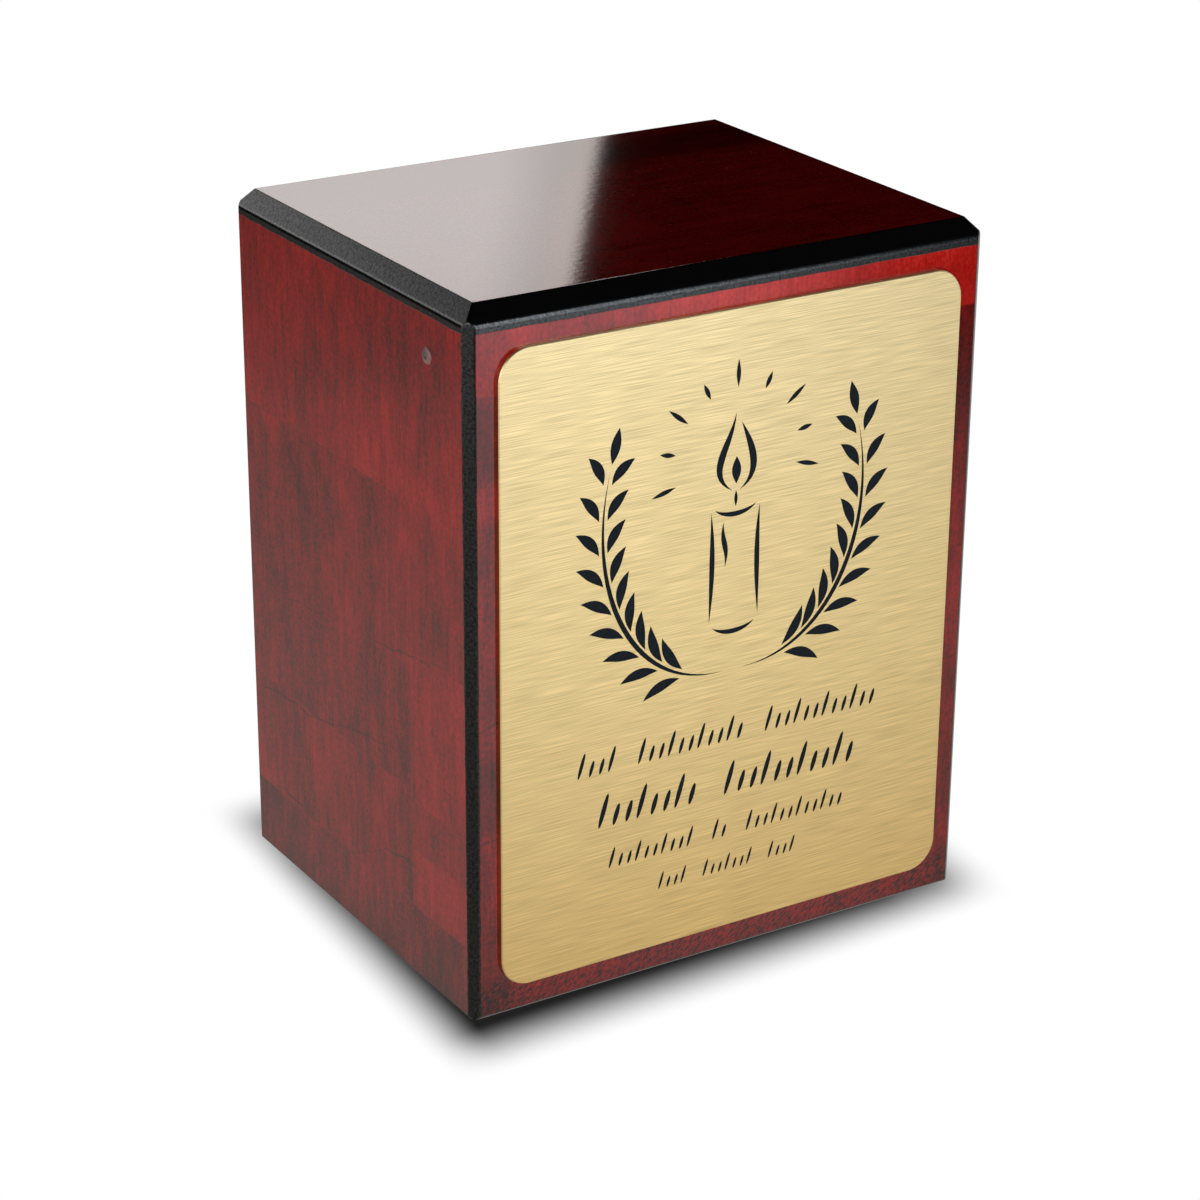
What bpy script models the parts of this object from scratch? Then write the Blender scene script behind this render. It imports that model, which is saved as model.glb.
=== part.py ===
"""Memorial urn box: a closed case of mitred boards with a loose base panel and an engraved brass name plate.

The front faces -Y, +Z is up, and the origin is the middle of the underside. All lengths are in metres.
"""
import math

import bmesh
import bpy
import numpy as np
from mathutils import Vector

# Case
CASE_WIDTH = 0.173
CASE_DEPTH = 0.140
CASE_HEIGHT = 0.215
WALL_THICKNESS = 0.012
TOP_THICKNESS = 0.012
TOP_CHAMFER_INSET = 0.0046
TOP_CHAMFER_DROP = 0.0052
CORNER_CHAMFER = 0.0026
FOOT_EASING = 0.0008

# Base panel in its rebate, and the screws that hold it
BASE_THICKNESS = 0.009
REBATE_LIP = 0.003
SCREW_END_DISTANCE = 0.022
SCREW_HEAD_DIAMETER = 0.0055
SCREW_SHANK_DIAMETER = 0.003
SCREW_BITE = 0.0065
SCREW_TIP = 0.0015
SCREW_SINK = 0.0003
RECESS_WIDTH = 0.0007
RECESS_SPAN = 0.0030
RECESS_DEPTH = 0.0009

# Name plate
PLATE_SIDE_BORDER = 0.0064
PLATE_TOP_BORDER = 0.0075
PLATE_FOOT_BORDER = 0.0085
PLATE_THICKNESS = 0.0012
PLATE_CORNER_RADIUS = 0.0095
PLATE_BEVEL = 0.0003
ENGRAVING_DEPTH = 0.0003

# Picture on the plate: its height, and how far its middle lies below the plate's top edge
PICTURE_HEIGHT = 0.098
PICTURE_DROP = 0.0645
# Gap between a leaf and its stem, as a share of the picture's height
LEAF_GAP = 0.023

# Each row of strokes: drop below the plate's top edge, stroke height, pitch, and strokes in each group
STROKE_ROWS = (
    (0.1286, 0.0080, 0.0034, (4, 11, 12)),
    (0.1446, 0.0108, 0.00435, (8, 11)),
    (0.1604, 0.0066, 0.0030, (10, 2, 12)),
    (0.1723, 0.0056, 0.0026, (4, 7, 4)),
)
GROUP_GAP_PITCHES = 2
STROKE_LEAN = 0.30
STROKE_STOUTNESS = 0.075
SHORT_STROKE = 0.62

# Side plug
PLUG_DIAMETER = 0.0050
PLUG_LENGTH = 0.0060
PLUG_CROWN = 0.0008
PLUG_BEHIND_FRONT = 0.0216
PLUG_BELOW_TOP = 0.0188

# Gap between pieces that touch, and how far a cutter reaches past a face
CLEARANCE = 0.0003
REACH = 0.002
ROUND_SIDES = 20
ARC_STEPS = 6

SIDES = {
    "front_panel": Vector((0, -1, 0)),
    "back_panel": Vector((0, 1, 0)),
    "left_side_panel": Vector((-1, 0, 0)),
    "right_side_panel": Vector((1, 0, 0)),
}
UP = Vector((0, 0, 1))


def half_extent(direction):
    """Half the case's size along a horizontal direction."""
    return abs(direction.x) * CASE_WIDTH / 2 + abs(direction.y) * CASE_DEPTH / 2


def material(name, colour, roughness, metallic=0.0):
    """A plain surface of one colour."""
    made = bpy.data.materials.new(name)
    made.use_nodes = True
    shader = made.node_tree.nodes["Principled BSDF"]
    shader.inputs["Base Color"].default_value = (*colour, 1)
    shader.inputs["Roughness"].default_value = roughness
    shader.inputs["Metallic"].default_value = metallic
    return made


def add_object(name, shape, surface=None):
    """Puts a bmesh into the scene as an object. One with no surface is a cutter."""
    bmesh.ops.recalc_face_normals(shape, faces=shape.faces)
    mesh = bpy.data.meshes.new(name)
    shape.to_mesh(mesh)
    shape.free()
    made = bpy.data.objects.new(name, mesh)
    bpy.context.scene.collection.objects.link(made)
    if surface:
        mesh.materials.append(surface)
    else:
        made.hide_render = True
        made.display_type = "WIRE"
    return made


def smooth(piece):
    """Shades the round faces of a turned piece smooth and keeps its corners sharp."""
    piece.data.shade_smooth()
    piece.data.set_sharp_from_angle(angle=math.radians(35))


def cut(piece, cutter):
    """Takes a cutter's shape out of a piece."""
    hole = piece.modifiers.new(cutter.name, "BOOLEAN")
    hole.operation = "DIFFERENCE"
    hole.solver = "EXACT"
    hole.object = cutter


def plane_off(shape, point, normal):
    """Cuts away what lies beyond a plane and closes the cut, like a plane taken to a block."""
    everything = shape.verts[:] + shape.edges[:] + shape.faces[:]
    bmesh.ops.bisect_plane(
        shape, geom=everything, dist=1e-7, plane_co=point, plane_no=normal, clear_outer=True
    )
    rim = [edge for edge in shape.edges if edge.is_boundary]
    if rim:
        bmesh.ops.edgeloop_fill(shape, edges=rim)


def block(low, high):
    """A box between two corners."""
    low, high = Vector(low), Vector(high)
    shape = bmesh.new()
    bmesh.ops.create_cube(shape, size=1)
    bmesh.ops.scale(shape, vec=high - low, verts=shape.verts)
    bmesh.ops.translate(shape, vec=(low + high) / 2, verts=shape.verts)
    return shape


def loft(shape, rings):
    """Adds a closed solid through rings of points, with a flat end on the first and the last ring."""
    loops = [[shape.verts.new(point) for point in ring] for ring in rings]
    for below, above in zip(loops, loops[1:]):
        for here in range(len(below)):
            after = (here + 1) % len(below)
            shape.faces.new((below[here], below[after], above[after], above[here]))
    shape.faces.new(loops[0][::-1])
    shape.faces.new(loops[-1])


def turned(shape, profile, centre, axis):
    """Adds a turned solid: profile holds (radius, distance along the axis) pairs."""
    axis = Vector(axis)
    side = axis.orthogonal().normalized()
    other = axis.cross(side)
    turns = [2 * math.pi * (step + 0.5) / ROUND_SIDES for step in range(ROUND_SIDES)]
    loft(shape, [
        [Vector(centre) + axis * along + radius * (side * math.cos(a) + other * math.sin(a)) for a in turns]
        for radius, along in profile
    ])


def case_blank():
    """The whole case as one block, with wide top chamfers, narrow corner chamfers and an eased foot."""
    shape = block((-CASE_WIDTH / 2, -CASE_DEPTH / 2, 0), (CASE_WIDTH / 2, CASE_DEPTH / 2, CASE_HEIGHT))
    for outward in SIDES.values():
        face = outward * half_extent(outward)
        chamfer_foot = face + UP * (CASE_HEIGHT - TOP_CHAMFER_DROP)
        plane_off(shape, chamfer_foot, outward * TOP_CHAMFER_DROP + UP * TOP_CHAMFER_INSET)
        plane_off(shape, face + UP * FOOT_EASING, outward - UP)
    for along_x in (-1, 1):
        for along_y in (-1, 1):
            corner = Vector((along_x * (CASE_WIDTH / 2 - CORNER_CHAMFER), along_y * CASE_DEPTH / 2, 0))
            plane_off(shape, corner, (along_x, along_y, 0))
    return shape


def wall(outward):
    """One board of the case: the blank cut to the wall's thickness, mitred at both ends, under the top."""
    shape = case_blank()
    face = outward * half_extent(outward)
    sideways = outward.cross(UP)
    plane_off(shape, face - outward * WALL_THICKNESS, -outward)
    plane_off(shape, UP * (CASE_HEIGHT - TOP_THICKNESS - CLEARANCE), UP)
    for end in (-sideways, sideways):
        half_gap = end * (CLEARANCE / math.sqrt(2))
        plane_off(shape, face + end * half_extent(end) - half_gap, end - outward)
    return shape


def top_board():
    """The top board lies on all four walls and holds the whole top chamfer."""
    shape = case_blank()
    plane_off(shape, UP * (CASE_HEIGHT - TOP_THICKNESS), -UP)
    return shape


def base_outline(gap):
    """Half width and half depth of the base panel's rebate, less a gap."""
    return CASE_WIDTH / 2 - REBATE_LIP - gap, CASE_DEPTH / 2 - REBATE_LIP - gap


def screw_places():
    """Where the screws go: two through the ledge of the front wall and two through the back wall's."""
    across = CASE_DEPTH / 2 - (WALL_THICKNESS + REBATE_LIP) / 2
    along = CASE_WIDTH / 2 - SCREW_END_DISTANCE
    return [Vector((x, y, 0)) for y in (-across, across) for x in (-along, along)]


def screw_profile():
    """A countersunk wood screw, head down: rim, cone, shank and tip."""
    head, shank = SCREW_HEAD_DIAMETER / 2, SCREW_SHANK_DIAMETER / 2
    end = BASE_THICKNESS + SCREW_BITE
    neck = SCREW_SINK + head - shank
    return ((head, SCREW_SINK), (shank, neck), (shank, end - SCREW_TIP), (shank / 3, end))


def screw_hole_profile():
    """The hole for a screw: the same turned shape, clear of it all round."""
    (head, sink), (shank, neck), _, (_, end) = screw_profile()
    gap = CLEARANCE * math.sqrt(2)
    return ((head + gap, -REACH), (head + gap, sink), (shank + gap, neck), (shank + gap, end + gap))


def plug_profile(gap=0.0):
    """A round peg with a low crowned head, as (radius, distance out of the wall's face) pairs."""
    radius = PLUG_DIAMETER / 2
    crown = [
        (radius * math.cos(turn), PLUG_CROWN * math.sin(turn))
        for turn in (math.pi / 2 * step / ARC_STEPS for step in range(ARC_STEPS))
    ]
    if gap:
        return ((radius + gap, -PLUG_LENGTH - gap), (radius + gap, REACH))
    return ((radius, -PLUG_LENGTH), *crown)


def plate_outline(inset):
    """Corner arcs of the plate's rounded outline, as points (across, up) about the plate's centre."""
    radius = PLATE_CORNER_RADIUS
    half_width, half_height = plate_size()[0] / 2, plate_size()[1] / 2
    points = []
    for quarter, (right, above) in enumerate(((1, 1), (-1, 1), (-1, -1), (1, -1))):
        centre_x, centre_z = right * (half_width - radius), above * (half_height - radius)
        for step in range(ARC_STEPS + 1):
            turn = math.pi / 2 * (quarter + step / ARC_STEPS)
            reach = radius - inset
            points.append((centre_x + reach * math.cos(turn), centre_z + reach * math.sin(turn)))
    return points


def plate_size():
    """The plate leaves a border on the flat of the front: (width, height)."""
    flat_width = CASE_WIDTH - 2 * CORNER_CHAMFER
    flat_height = CASE_HEIGHT - TOP_CHAMFER_DROP
    return flat_width - 2 * PLATE_SIDE_BORDER, flat_height - PLATE_TOP_BORDER - PLATE_FOOT_BORDER


def on_plate(points, depth):
    """Points (across, up) about the plate's centre, put at a depth behind the plate's front face."""
    centre_z = PLATE_FOOT_BORDER + plate_size()[1] / 2
    front_y = -CASE_DEPTH / 2 - CLEARANCE - PLATE_THICKNESS
    return [Vector((across, front_y + depth, centre_z + up)) for across, up in points]


def bezier(corners, count):
    """Points along a cubic curve with the given four corners."""
    t = np.linspace(0, 1, count)[:, None]
    start, leave, arrive, end = np.asarray(corners, float)
    return (1 - t) ** 3 * start + 3 * (1 - t) ** 2 * t * leave + 3 * (1 - t) * t**2 * arrive + t**3 * end


def brush_stroke(line, half_width):
    """Outline of a brush stroke along a line: pointed at both ends and widest in the middle."""
    along = np.gradient(line, axis=0)
    across = np.stack([-along[:, 1], along[:, 0]], 1) / np.linalg.norm(along, axis=1)[:, None]
    swell = half_width * np.sin(np.linspace(0, math.pi, len(line)))[:, None]
    left, right = line + across * swell, line - across * swell
    return np.vstack([left, right[-2:0:-1]])


def tick(start, angle, length, half_width, bend=0.0):
    """A short brush stroke from a point, in a direction, bowed sideways by a share of its length."""
    ahead = np.array([math.cos(angle), math.sin(angle)]) * length
    aside = np.array([-ahead[1], ahead[0]]) * bend
    start = np.asarray(start, float)
    line = bezier((start, start + ahead / 3 + aside, start + ahead * 2 / 3 + aside, start + ahead), 6)
    return brush_stroke(line, half_width)


def branch():
    """The right-hand leafy branch: a stem with pairs of leaves and a leaf on its tip, in shares of the height."""
    stem = bezier(((0.035, -0.46), (0.34, -0.47), (0.52, -0.12), (0.43, 0.24)), 61)
    headings = np.unwrap(np.arctan2(*np.gradient(stem, axis=0).T[::-1]))
    strokes = [brush_stroke(stem[::6], 0.008)]
    for pair, place in enumerate(range(9, 58, 6)):
        length = 0.135 - 0.004 * pair
        for side in (-1, 1):
            heading = headings[place] + side * 0.68
            foot = stem[place] + LEAF_GAP * np.array([math.cos(heading), math.sin(heading)])
            strokes.append(tick(foot, heading, length, 0.0165, -0.12 * side))
    tip = headings[-1]
    strokes.append(tick(stem[-1] + LEAF_GAP * np.array([math.cos(tip), math.sin(tip)]), tip, 0.11, 0.0165))
    return strokes


def candle():
    """A lit candle: its two sides, rim, foot, wick, flame and a fan of rays, in shares of the height."""
    strokes = [
        brush_stroke(bezier(((-0.085, 0.05), (-0.075, -0.05), (-0.078, -0.18), (-0.086, -0.30)), 7), 0.009),
        brush_stroke(bezier(((0.085, 0.05), (0.075, -0.05), (0.078, -0.18), (0.086, -0.30)), 7), 0.009),
        brush_stroke(bezier(((-0.072, 0.055), (-0.04, 0.025), (0.04, 0.025), (0.072, 0.055)), 8), 0.008),
        brush_stroke(bezier(((-0.074, -0.315), (-0.04, -0.345), (0.04, -0.345), (0.074, -0.315)), 8), 0.008),
        brush_stroke(bezier(((-0.040, 0.015), (-0.052, -0.05), (-0.020, -0.06), (-0.034, -0.13)), 7), 0.009),
        tick((0.0, 0.055), math.pi / 2, 0.05, 0.006),
        brush_stroke(bezier(((-0.012, 0.105), (-0.115, 0.17), (-0.020, 0.24), (-0.004, 0.345)), 9), 0.012),
        brush_stroke(bezier(((0.012, 0.105), (0.095, 0.15), (0.050, 0.24), (0.014, 0.315)), 9), 0.012),
        tick((0.0, 0.125), math.pi / 2, 0.085, 0.016),
    ]
    for ray in range(9):
        angle = math.radians(-14 + 26 * ray)
        start = np.array([0, 0.205]) + 0.215 * np.array([math.cos(angle), math.sin(angle)])
        strokes.append(tick(start, angle, 0.055 if ray % 2 else 0.085, 0.0075))
    return strokes


def picture():
    """A candle between two branches, about the plate's centre."""
    right = branch()
    left = [(stroke * (-1, 1))[::-1] for stroke in right]
    middle_z = plate_size()[1] / 2 - PICTURE_DROP
    return [stroke * PICTURE_HEIGHT + (0, middle_z) for stroke in right + left + candle()]


def stroke_row(drop, height, pitch, groups):
    """One row of leaning strokes in groups, centred on the plate: every third stroke is a long one."""
    gaps = GROUP_GAP_PITCHES * (len(groups) - 1)
    places = sum(groups) + gaps
    left = -(places - 1) * pitch / 2
    foot = plate_size()[1] / 2 - drop - height / 2
    strokes = []
    place = 0
    for group in groups:
        for number in range(group):
            tall = height if number % 3 == 0 else height * SHORT_STROKE
            start = (left + place * pitch - tall * STROKE_LEAN / 2, foot)
            end = (start[0] + tall * STROKE_LEAN, foot + tall)
            strokes.append(brush_stroke(np.linspace(start, end, 4), height * STROKE_STOUTNESS))
            place += 1
        place += GROUP_GAP_PITCHES
    return strokes


for old in list(bpy.data.objects):
    bpy.data.objects.remove(old, do_unlink=True)

cherry = material("cherry_lacquer", (0.20, 0.018, 0.014), 0.12)
base_black = material("black_base", (0.015, 0.014, 0.013), 0.55)
zinc = material("zinc_plate", (0.55, 0.55, 0.53), 0.35, 1.0)
brass = material("brushed_brass", (0.75, 0.58, 0.28), 0.34, 1.0)
grey_plug = material("grey_plug", (0.14, 0.09, 0.085), 0.45)

# Cutters, shared by the pieces that meet there
half_x, half_y = base_outline(0.0)
rebate_cutter = add_object(
    "base_rebate_cutter", block((-half_x, -half_y, -REACH), (half_x, half_y, BASE_THICKNESS + CLEARANCE))
)
holes = bmesh.new()
for spot in screw_places():
    turned(holes, screw_hole_profile(), spot, UP)
screw_hole_cutter = add_object("base_screw_hole_cutter", holes)

# The four walls and the top
walls = {name: add_object(name, wall(outward), cherry) for name, outward in SIDES.items()}
for board in walls.values():
    cut(board, rebate_cutter)
for name in ("front_panel", "back_panel"):
    cut(walls[name], screw_hole_cutter)
add_object("top_panel", top_board(), cherry)

# The base panel and its screws
half_x, half_y = base_outline(CLEARANCE)
base_panel = add_object("base_panel", block((-half_x, -half_y, 0), (half_x, half_y, BASE_THICKNESS)), base_black)
cut(base_panel, screw_hole_cutter)
for number, spot in enumerate(screw_places(), 1):
    shape = bmesh.new()
    turned(shape, screw_profile(), spot, UP)
    screw = add_object(f"base_screw_{number}", shape, zinc)
    smooth(screw)
    floor = SCREW_SINK + RECESS_DEPTH
    for half_along, half_aside in ((RECESS_SPAN / 2, RECESS_WIDTH / 2), (RECESS_WIDTH / 2, RECESS_SPAN / 2)):
        slot = block((-half_along, -half_aside, -REACH), (half_along, half_aside, floor))
        bmesh.ops.translate(slot, vec=spot, verts=slot.verts)
        cut(screw, add_object(f"recess_cutter_{number}", slot))

# The side plug in its blind hole
plug_spot = Vector((-CASE_WIDTH / 2, -CASE_DEPTH / 2 + PLUG_BEHIND_FRONT, CASE_HEIGHT - PLUG_BELOW_TOP))
shape = bmesh.new()
turned(shape, plug_profile(CLEARANCE), plug_spot, SIDES["left_side_panel"])
cut(walls["left_side_panel"], add_object("plug_hole_cutter", shape))
shape = bmesh.new()
turned(shape, plug_profile(), plug_spot, SIDES["left_side_panel"])
smooth(add_object("side_plug", shape, grey_plug))

# The name plate and its engraving
shape = bmesh.new()
edge, face = plate_outline(0.0), plate_outline(PLATE_BEVEL)
loft(shape, [on_plate(edge, PLATE_THICKNESS), on_plate(edge, PLATE_BEVEL), on_plate(face, 0.0)])
name_plate = add_object("name_plate", shape, brass)
shape = bmesh.new()
strokes = picture()
for row in STROKE_ROWS:
    strokes += stroke_row(*row)
for stroke in strokes:
    loft(shape, [on_plate(stroke, ENGRAVING_DEPTH), on_plate(stroke, -REACH)])
cut(name_plate, add_object("engraving_cutter", shape))
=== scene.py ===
"""Memorial urn box in a soft white studio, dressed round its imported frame.

The front faces -Y, +Z is up, and the origin is the middle of the underside. All lengths are in metres.
"""
import math

import bmesh
import bpy
import numpy as np
from mathutils import Matrix, Vector, geometry


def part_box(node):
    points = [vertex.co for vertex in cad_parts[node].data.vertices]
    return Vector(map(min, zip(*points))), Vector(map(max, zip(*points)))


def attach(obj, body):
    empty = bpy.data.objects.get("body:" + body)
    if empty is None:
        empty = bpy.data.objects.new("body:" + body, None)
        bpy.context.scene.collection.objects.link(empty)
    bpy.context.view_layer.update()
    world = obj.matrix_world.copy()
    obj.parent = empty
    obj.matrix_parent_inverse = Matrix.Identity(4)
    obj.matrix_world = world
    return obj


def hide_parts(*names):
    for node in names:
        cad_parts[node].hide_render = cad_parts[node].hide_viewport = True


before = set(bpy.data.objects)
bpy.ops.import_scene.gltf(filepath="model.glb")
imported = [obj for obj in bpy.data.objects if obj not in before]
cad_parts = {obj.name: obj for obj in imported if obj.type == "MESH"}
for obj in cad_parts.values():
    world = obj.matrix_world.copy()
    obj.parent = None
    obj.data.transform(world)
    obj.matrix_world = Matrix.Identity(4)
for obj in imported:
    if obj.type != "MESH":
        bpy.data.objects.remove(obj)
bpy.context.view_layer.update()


# ---- Case
# The four walls and the top are boards of fibreboard, mitred and glued, so that they are one piece to the eye.
# Red-stained veneer is pressed over them, their edges are cut back and painted black, and the whole is sprayed
# with a thick clear lacquer and polished.

HALF_WIDTH, HALF_DEPTH, CASE_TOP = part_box("top_panel")[1]
TOP_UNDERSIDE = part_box("top_panel")[0].z
WALL_THICKNESS = 0.012
TOP_CHAMFER_INSET = 0.0046
TOP_CHAMFER_DROP = 0.0052
CORNER_CHAMFER = 0.0026
FOOT_EASING = 0.0008
REBATE_LIP = 0.003
REBATE_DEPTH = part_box("base_panel")[1].z + 0.0003
FOOT_RADIUS = 0.0003
CHAMFER_FOOT_RADIUS = 0.0022
CHAMFER_TOP_RADIUS = 0.0005
# Rounding of the upright edges, and of the edges that meet at a corner of the top
UPRIGHT_RADIUS = 0.0011
HIP_RADIUS = 0.0004
ARC_STEPS = 6


def plan(inset, z, cut=0.0, radius=0.0):
    """Points round the case's outline at a height, anticlockwise from above.

    The outline is a rectangle that lies inset from the walls' faces and has its corners cut off at 45 degrees.
    Each of its eight corners is an arc of 45 degrees, about a centre that lies one radius inside both its edges.
    """
    x, y = HALF_WIDTH - inset - radius, HALF_DEPTH - inset - radius
    cut = max(cut - (2 - math.sqrt(2)) * radius, 0)
    across = np.array([x, x - cut, cut - x, -x, -x, cut - x, x - cut, x])[:, None]
    deep = np.array([y - cut, y, y, y - cut, cut - y, -y, -y, cut - y])[:, None]
    turn = np.linspace(0, math.pi / 4, ARC_STEPS + 1) + np.arange(8)[:, None] * math.pi / 4
    points = [across + radius * np.cos(turn), deep + radius * np.sin(turn), np.full(turn.shape, z)]
    return np.stack(points, -1).reshape(-1, 3)


def filleted(corners, radii):
    """A line through corners whose inner corners are arcs: each starts its radius times tan(turn / 2) before it."""
    corners = np.asarray(corners, float)
    points = [corners[:1]]
    for before, corner, after, radius in zip(corners, corners[1:], corners[2:], radii):
        into = (corner - before) / np.linalg.norm(corner - before)
        out = (after - corner) / np.linalg.norm(after - corner)
        bend = math.atan2(into[0] * out[1] - into[1] * out[0], into @ out)
        start = corner - into * radius * math.tan(abs(bend) / 2)
        inwards = math.copysign(radius, bend) * np.array([-into[1], into[0]])
        turn = np.linspace(0, bend, ARC_STEPS + 1)[:, None]
        points.append(start + inwards - np.cos(turn) * inwards + np.sin(turn) * np.array([inwards[1], -inwards[0]]))
    return np.vstack([*points, corners[-1:]])


def ring_bands(rings, count):
    """Quads that join each ring of points to the next: point i of ring k to point i + 1 and to ring k + 1."""
    ring, here = np.meshgrid(np.arange(rings - 1) * count, np.arange(count), indexing="ij")
    after = (here + 1) % count
    return np.stack([ring + here, ring + after, ring + count + after, ring + count + here], -1).reshape(-1, 4)


def new_piece(name, points, faces, materials, face_materials=None):
    """A mesh object from points and faces, with its doubles merged and its faces turned outwards."""
    mesh = bpy.data.meshes.new(name)
    mesh.from_pydata(np.asarray(points).tolist(), [], [list(face) for face in faces])
    for finish in materials:
        mesh.materials.append(finish)
    if face_materials is not None:
        mesh.polygons.foreach_set("material_index", face_materials)
    shape = bmesh.new()
    shape.from_mesh(mesh)
    bmesh.ops.remove_doubles(shape, verts=shape.verts, dist=1e-7)
    bmesh.ops.dissolve_degenerate(shape, edges=shape.edges, dist=1e-7)
    bmesh.ops.recalc_face_normals(shape, faces=shape.faces)
    shape.to_mesh(mesh)
    shape.free()
    piece = bpy.data.objects.new(name, mesh)
    bpy.context.scene.collection.objects.link(piece)
    return piece


def linear(colour):
    """An sRGB hex colour as linear RGBA."""
    srgb = np.array([int(colour[place:place + 2], 16) for place in (1, 3, 5)]) / 255
    return (*np.where(srgb <= 0.04045, srgb / 12.92, ((srgb + 0.055) / 1.055) ** 2.4), 1.0)


def add(tree, kind, inputs=None, stops=None, **settings):
    """Adds a node. Each input is a value, or the node or output that it is linked from. Stops fill a colour ramp."""
    made = tree.nodes.new("ShaderNode" + kind)
    for name, value in settings.items():
        setattr(made, name, value)
    for name, value in (inputs or {}).items():
        if isinstance(value, bpy.types.Node):
            value = value.outputs[0]
        if isinstance(value, bpy.types.NodeSocket):
            tree.links.new(value, made.inputs[name])
        else:
            made.inputs[name].default_value = value
    if stops:
        ramp = made.color_ramp.elements
        while len(ramp) < len(stops):
            ramp.new(1.0)
        for element, (place, colour) in zip(ramp, stops):
            element.position = place
            element.color = linear(colour) if isinstance(colour, str) else (colour, colour, colour, 1.0)
    return made


def new_finish(name):
    """An empty material: its node tree and its output node."""
    made = bpy.data.materials.new(name)
    made.use_nodes = True
    made.node_tree.nodes.clear()
    return made, made.node_tree, made.node_tree.nodes.new("ShaderNodeOutputMaterial")


# Each wall has its own strip of the pattern, this far from the next along the strip's first axis
STRIP = 0.25
STRIPS = {"front": 0, "left": 1, "right": 2, "back": 3, "top": 4}

# Patches of the veneer, in millimetres: from the wall's left edge as seen from outside, from the top chamfer down,
# how much lighter or darker the patch is than the rest, and how wide its edge fades. On the top the first two run
# from the front edge back, and the next two from left to right of the middle. The last patch on the top is painted
# light.
VENEER_PATCHES = (
    ("left", -2, 142, -6, 60, -0.04, 0.6),
    ("left", 62, 142, 34, 60, 0.06, 12.0),
    ("left", -2, 105, 60, 150, -0.09, 0.6),
    ("left", 105, 142, 60, 105, -0.05, 2.0),
    ("left", 105, 142, 105, 153, 0.01, 0.8),
    ("left", 105, 142, 153, 168, -0.04, 0.8),
    ("left", -2, 105, 150, 187, -0.07, 0.8),
    ("left", 105, 142, 168, 187, 0.01, 0.8),
    ("left", -2, 142, 187, 215, -0.16, 0.8),
    ("left", 10, 19, 64, 96, -0.09, 4.0),
    ("left", 28, 37, 146, 168, -0.09, 4.0),
    ("left", 98, 107, 112, 187, -0.06, 4.0),
    ("left", 96, 128, -6, 50, -0.07, 8.0),
    ("front", -2, 176, -6, 20, 0.14, 0.8),
    ("front", 60, 166, -6, 22, 0.14, 12.0),
    ("front", 160, 176, 20, 62, -0.24, 0.8),
    ("front", 160, 176, 62, 96, -0.14, 0.8),
    ("front", 160, 176, 96, 150, -0.10, 0.8),
    ("front", 160, 176, 150, 215, -0.12, 0.8),
    ("front", -2, 14, 22, 46, -0.18, 6.0),
    ("front", -2, 12, 56, 215, -0.16, 5.0),
    ("front", -2, 60, -6, 56, -0.05, 9.0),
    ("front", -2, 12, -6, 22, -0.12, 5.0),
    ("front", -2, 12, 128, 150, -0.10, 7.0),
    ("right", -2, 142, -6, 48, -0.10, 0.8),
    ("right", -2, 62, 48, 118, 0.10, 0.8),
    ("right", 88, 142, 118, 170, 0.12, 0.8),
    ("right", -2, 142, 179, 215, -0.14, 0.8),
    ("back", -2, 176, -6, 72, 0.10, 0.8),
    ("back", -2, 70, 72, 138, -0.08, 0.8),
    ("back", 118, 176, 100, 172, 0.10, 0.8),
    ("back", -2, 176, 182, 215, -0.14, 0.8),
    ("top", -2, 104, -90, 90, 0.04, 6.0),
    ("top", 104, 130, -90, 90, -0.14, 8.0),
    # Painted light: the front of the top, right of the middle, is painted lighter
    ("top", -2, 80, -35, 90, 0.08, 12.0),
)


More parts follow.
